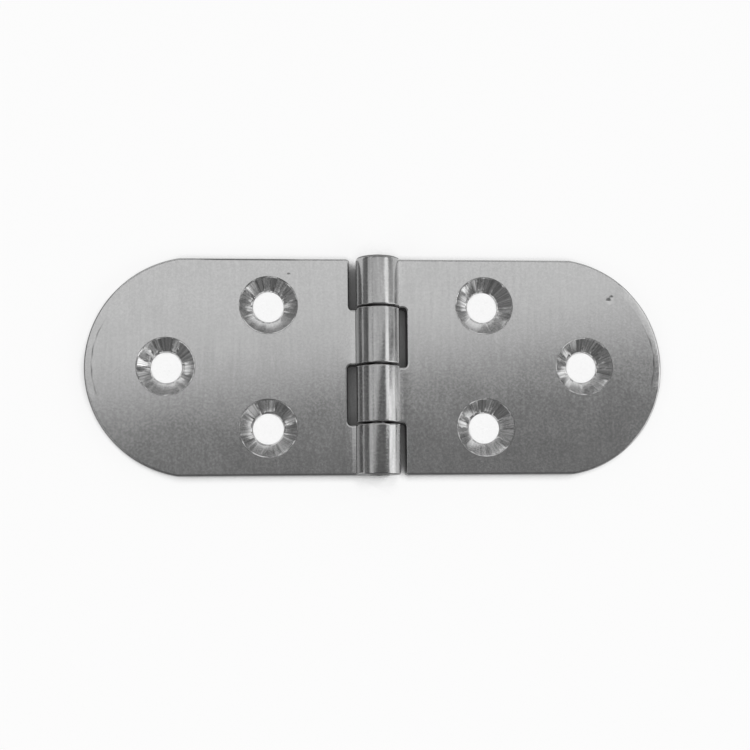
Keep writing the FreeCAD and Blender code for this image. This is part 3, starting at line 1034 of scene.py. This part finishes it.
def check_outward(mesh):
    """Stops the script if a closed mesh is inside out or open."""
    volume = 0.0
    used = {}
    for polygon in mesh.polygons:
        corners = [mesh.vertices[i].co for i in polygon.vertices]
        for a, b in zip(corners[1:-1], corners[2:]):
            volume += corners[0].dot(a.cross(b)) / 6
        for key in polygon.edge_keys:
            used[key] = used.get(key, 0) + 1
    if volume <= 0:
        raise RuntimeError(f"{mesh.name} is inside out: its volume is {volume}")
    ragged = sum(1 for n in used.values() if n != 2)
    if ragged:
        raise RuntimeError(f"{mesh.name} isn't closed: {ragged} edges lack two faces")
    print(mesh.name, "volume in cubic millimetres", round(volume / MM ** 3, 2))


def make_leaf(name, reamed, marks, half_turn, seed, trees):
    """One leaf: stamped, countersunk, rolled and, for the fixed leaf, turned half a turn."""
    sizes = bpy.context.scene.hinge_sizes
    metal = metals()
    stamping = Stamping(sizes, reamed, marks)
    blank = stamping.to_object(name + "_blank")
    rim_radius, rim_height, throat_radius, throat_height = (c * MM for c in stamping.cone)
    run_tree(blank, trees[0], {
        "Rim Radius": rim_radius, "Rim Height": rim_height,
        "Throat Radius": throat_radius, "Throat Height": throat_height,
        "Around": Stamping.HOLE_POINTS, "Facets": sizes.facets,
        "Chatter Depth": sizes.chatter, "Facet Lean": sizes.facet_lean,
        "Calm Side": math.radians(90 if half_turn else -90), "Seed": seed,
        "Cut Steel": metal["Countersunk steel"]})
    run_tree(blank, trees[1], {
        "Pin Height": sizes.pin_height, "Neutral Radius": sizes.pin_height - sizes.gauge / 2,
        "Gauge": sizes.gauge, "Ripple Depth": sizes.ripple, "Pattern Shift": 0.07 * seed,
        "Leaf Steel": metal["Brushed leaf steel"],
        "Shaded Sheared Steel": metal["Shaded sheared edge steel"]})
    leaf = flatten(blank, name)
    lay_pattern(leaf.data)
    if half_turn:
        leaf.data.transform(Matrix.Rotation(math.pi, 4, "Z"))
    shade(leaf.data)
    check_outward(leaf.data)
    return leaf


class HINGE_OT_make_leaves(bpy.types.Operator):
    """Stamp, countersink and roll the two leaves"""

    bl_idname = "hinge.make_leaves"
    bl_label = "Make Leaves"

    def execute(self, context):
        trees = (countersink_tree(), rolling_tree())
        moving = make_leaf("moving_leaf_steel", True, MOVING_MARKS, False, MOVING_SEED, trees)
        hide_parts("moving_leaf")
        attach(moving, "moving_side")
        fixed = make_leaf("fixed_leaf_steel", False, FIXED_MARKS, True, FIXED_SEED, trees)
        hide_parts("fixed_leaf")
        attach(fixed, "fixed_side")
        return {"FINISHED"}


# ---------------------------------------------------------------- the pin

# A head's dome: rings as shares of its radius, its drop as a share of the head's height, how
# fast it falls away, and the height of the head's side.
DOME_RINGS = (0.0, 0.14, 0.3, 0.46, 0.62, 0.78, 0.9, 0.97)
DOME_DROP, DOME_POWER, HEAD_SIDE = 0.78, 2.6, 0.13


def pin_profile(sizes):
    """Radius and place along the pin, from one head's top to the other's."""
    seat = sizes.half_width + sizes.head_seat
    top, wide, shaft = sizes.head_top, sizes.head_radius, sizes.shaft_radius - 0.004 * MM
    rise = top - seat
    head = []
    for part in DOME_RINGS:
        head.append((wide * part, top - rise * DOME_DROP * part ** DOME_POWER))
    head += [(wide, seat + rise * HEAD_SIDE), (wide - 0.03 * MM, seat), (shaft + 0.06 * MM, seat),
             (shaft, seat - 0.08 * MM)]
    upper = head + [(shaft, y * MM) for y in (12, 8, 4)]
    return upper + [(shaft, 0.0)] + [(r, -y) for r, y in reversed(upper)]


class HINGE_OT_make_pin(bpy.types.Operator):
    """Turn the pin and peen its two heads"""

    bl_idname = "hinge.make_pin"
    bl_label = "Make Pin"

    AROUND = 64

    def execute(self, context):
        sizes = context.scene.hinge_sizes
        profile = pin_profile(sizes)
        points, faces = [], []
        for radius, y in profile[1:-1]:
            for i in range(self.AROUND):
                a = FULL_TURN * i / self.AROUND
                reach = radius
                if abs(y) > sizes.half_width + sizes.head_seat:
                    reach -= 0.02 * MM * (0.5 + 0.5 * math.sin(5 * a + 40 * y / MM))
                points.append((reach * math.cos(a), y, sizes.pin_height + reach * math.sin(a)))
        rings = len(profile) - 2
        n = self.AROUND
        for k in range(rings - 1):
            for i in range(n):
                j = (i + 1) % n
                faces.append((k * n + i, k * n + j, (k + 1) * n + j, (k + 1) * n + i))
        for ring, y in ((0, profile[0][1]), (rings - 1, profile[-1][1])):
            middle = len(points)
            points.append((0.0, y, sizes.pin_height))
            for i in range(n):
                j = (i + 1) % n
                a, b = ring * n + i, ring * n + j
                faces.append((middle, b, a) if ring == 0 else (middle, a, b))
        mesh = bpy.data.meshes.new("hinge_pin_steel")
        mesh.from_pydata(points, [], faces)
        mesh.materials.append(metals()["Pin steel"])
        mesh.shade_smooth()
        mesh.set_sharp_from_angle(angle=PIN_CREASE)
        check_outward(mesh)
        pin = add_object("hinge_pin_steel", mesh)
        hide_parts("hinge_pin")
        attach(pin, "fixed_side")
        return {"FINISHED"}


# ---------------------------------------------------------------- the stage

# Softboxes: name, middle, size across and along, way it faces, turn about that way in degrees, and
# brightness, where 1 is the brightness of a white sheet. Lengths are in metres.
DOWN, LEFT, RIGHT, FRONT = (0, 0, -1), (-1, 0, 0), (1, 0, 0), (0, -1, 0)
SOFTBOXES = [
    ("Top softbox", (0.04, 0.405, 1.0), (1.30, 0.60), DOWN, 7.3, 0.72),
    ("Front ceiling", (0.11, -0.14, 1.0), (1.30, 0.50), DOWN, 7.3, 0.06),
    ("Left strip", (-1.04, 0.10, 1.0), (0.78, 2.0), DOWN, 0, 0.72),
    ("Right window", (1.5, 0.72, 1.56), (1.08, 1.15), LEFT, 0, 1.40),
    ("Right low window", (1.5, -0.40, 0.58), (1.24, 1.15), LEFT, 0, 1.45),
    ("Right dim panel", (1.5, 0.72, 0.47), (0.92, 1.0), LEFT, 0, 0.45),
    ("Right front panel", (1.16, -1.38, 0.42), (0.90, 0.70), (-1.16, 1.38, 0), 0, 0.42),
    ("Left low panel", (-1.5, 0.0, 0.31), (0.60, 3.0), RIGHT, 0, 0.08),
    ("Back panel", (0.0, 2.0, 1.46), (4.0, 0.90), FRONT, 0, 0.42),
    ("Back low panel", (0.0, 2.0, 0.50), (4.0, 1.0), FRONT, 0, 0.80),
]
# Keys that brighten the room and the floor, and stay out of the metal's reflections.
KEYS = [
    ("Front left key", (-0.72, -0.62, 0.75), (0.62, 0.62), (0.72, 0.62, -0.75), 0, 3.0),
    ("Front right key", (0.72, -0.62, 0.75), (0.62, 0.62), (-0.72, 0.62, -0.75), 0, 3.0),
]


# The floor's shading looks for steel this far off, under a sky that leans to the back.
SHADOW_REACH, SHADOW_LEAN, SHADOW_RAYS = 8 * MM, (0.0, 0.5, 0.866), 8
FLOOR_HALF = 2.5
RIM_RADIUS, RIM_LOW, RIM_HIGH, RIM_SIDES = 3.55, -0.06, 0.066, 64
# Where the camera looks, and what it can see.
AIM, SIGHT = Vector((-0.445, -1.31, 3.0)) * MM, (0.01, 20.0)


def floor_material(settings):
    """Pale floor that the eye and polished metal see near white, but for a painted shadow of the
    hinge.
    """
    material, tree, shader = new_material("Pale floor")
    plug(shader, {
        "Base Color": (*settings.floor, 1.0), "Roughness": 0.9, "Specular IOR Level": 0.0})
    # The white glow is dimmed where steel is near, a painted shadow: soft beside the hinge and dark
    # in the knuckle slots.
    sky = put(
        tree, "ShaderNodeAmbientOcclusion", {"Distance": SHADOW_REACH, "Normal": SHADOW_LEAN},
        samples=SHADOW_RAYS)["AO"]
    slot_painted_shade = ramp(sky, 0.06, 0.24, 0.008, 0.10, "LINEAR")
    clear_of_painted_shadow = ramp(sky, 0.44, 0.60, shape="LINEAR")
    glow = put(tree, "ShaderNodeEmission", {"Strength": mix(clear_of_painted_shadow, slot_painted_shade, 1.0)})[0]
    path = put(tree, "ShaderNodeLightPath")
    seen = path["Is Camera Ray"].math(
        "MAXIMUM", path["Is Glossy Ray"].math("MAXIMUM", path["Is Transmission Ray"]))
    blend = put(
        tree, "ShaderNodeMixShader",
        {0: seen * settings.whiteness, 1: Outputs(shader)[0], 2: glow})[0]
    plug(tree.nodes["Material Output"], {"Surface": blend})
    return material


def make_floor(settings):
    """A plain pale floor under the hinge, with a low round rim far away that hides its edge."""
    half = FLOOR_HALF
    # Three triangles, so that no seam runs under the hinge, and then the rim.
    points = [(-half, -half, 0), (half, -half, 0), (half, half, 0), (-half, half, 0), (0, half, 0)]
    faces = [(0, 1, 4), (1, 2, 4), (0, 4, 3)]
    for i in range(RIM_SIDES):
        angle = FULL_TURN * i / RIM_SIDES
        across, deep = RIM_RADIUS * math.cos(angle), RIM_RADIUS * math.sin(angle)
        points += [(across, deep, RIM_LOW), (across, deep, RIM_HIGH)]
        here, after = 5 + 2 * i, 5 + 2 * ((i + 1) % RIM_SIDES)
        faces.append((here, here + 1, after + 1, after))
    mesh = bpy.data.meshes.new("studio_floor")
    mesh.from_pydata(points, [], faces)
    mesh.materials.append(floor_material(settings))
    floor = add_object("studio_floor", mesh)


def placement(middle, away, turn):
    """Where a lamp or camera stands that looks against a direction, turned about it."""
    across = Vector((0, 1, 0)).cross(away)
    if across.length < 0.1:
        across = Vector((1, 0, 0))
    across.normalize()
    axes = Matrix((across, away.cross(across), away)).transposed().to_4x4()
    return Matrix.Translation(middle) @ axes @ Matrix.Rotation(turn, 4, "Z")


def make_lamps(settings):
    """Softboxes round the hinge, and a dim room."""
    for name, middle, (wide, high), facing, turn, level in SOFTBOXES + KEYS:
        data = bpy.data.lights.new(name, "AREA")
        data.shape = "RECTANGLE"
        data.size, data.size_y = wide, high
        data.energy = math.pi * wide * high * level * settings.lamp_level
        lamp = add_object(name, data)
        lamp.visible_glossy = not name.endswith("key")
        lamp.matrix_world = placement(middle, -Vector(facing).normalized(), math.radians(turn))
    world = bpy.data.worlds.new("Dim room")
    world.use_nodes = True
    world.node_tree.nodes["Background"].inputs[0].default_value = (*settings.room, 1.0)
    bpy.context.scene.world = world


def make_camera(settings):
    """A camera almost straight above, as for a catalogue."""
    side, front = settings.camera_side, settings.camera_front
    away = Vector((math.sin(side) * math.cos(front), -math.sin(front),
                   math.cos(side) * math.cos(front)))
    data = bpy.data.cameras.new("Catalogue camera")
    data.lens = settings.camera_lens
    data.clip_start, data.clip_end = SIGHT
    camera = add_object("Catalogue camera", data)
    camera.matrix_world = placement(
        AIM + away * settings.camera_distance, away, settings.camera_roll)
    bpy.context.scene.camera = camera


class HINGE_OT_set_stage(bpy.types.Operator):
    """Set the floor, lamps and camera"""

    bl_idname = "hinge.set_stage"
    bl_label = "Set Stage"

    def execute(self, context):
        settings = context.scene.hinge_stage
        make_floor(settings)
        make_lamps(settings)
        make_camera(settings)
        context.scene.view_settings.view_transform = "Standard"
        return {"FINISHED"}


class HINGE_PT_sidebar(bpy.types.Panel):
    """Lists the hinge's operators and settings"""

    bl_label = "Door Hinge"
    bl_idname = "HINGE_PT_sidebar"
    bl_space_type = "VIEW_3D"
    bl_region_type = "UI"
    bl_category = "Hinge"

    def draw(self, context):
        layout = self.layout
        for operator in OPERATORS:
            layout.operator(operator.bl_idname)
        for name in SETTINGS:
            box = layout.box()
            group = getattr(context.scene, name)
            for key in type(group).__annotations__:
                box.prop(group, key)


OPERATORS = (HINGE_OT_make_leaves, HINGE_OT_make_pin, HINGE_OT_set_stage)
SETTINGS = {
    "hinge_sizes": HingeSizes, "hinge_finish": HingeFinish, "hinge_stage": StageSettings}


def register():
    for item in (*SETTINGS.values(), *OPERATORS, HINGE_PT_sidebar):
        bpy.utils.register_class(item)
    for name, group in SETTINGS.items():
        setattr(bpy.types.Scene, name, PointerProperty(type=group))


def unregister():
    for name in SETTINGS:
        delattr(bpy.types.Scene, name)
    for item in reversed((*SETTINGS.values(), *OPERATORS, HINGE_PT_sidebar)):
        bpy.utils.unregister_class(item)


def main():
    """Makes the hinge and its stage."""
    register()
    bpy.ops.hinge.make_leaves()
    bpy.ops.hinge.make_pin()
    bpy.ops.hinge.set_stage()


if __name__ == "__main__":
    main()
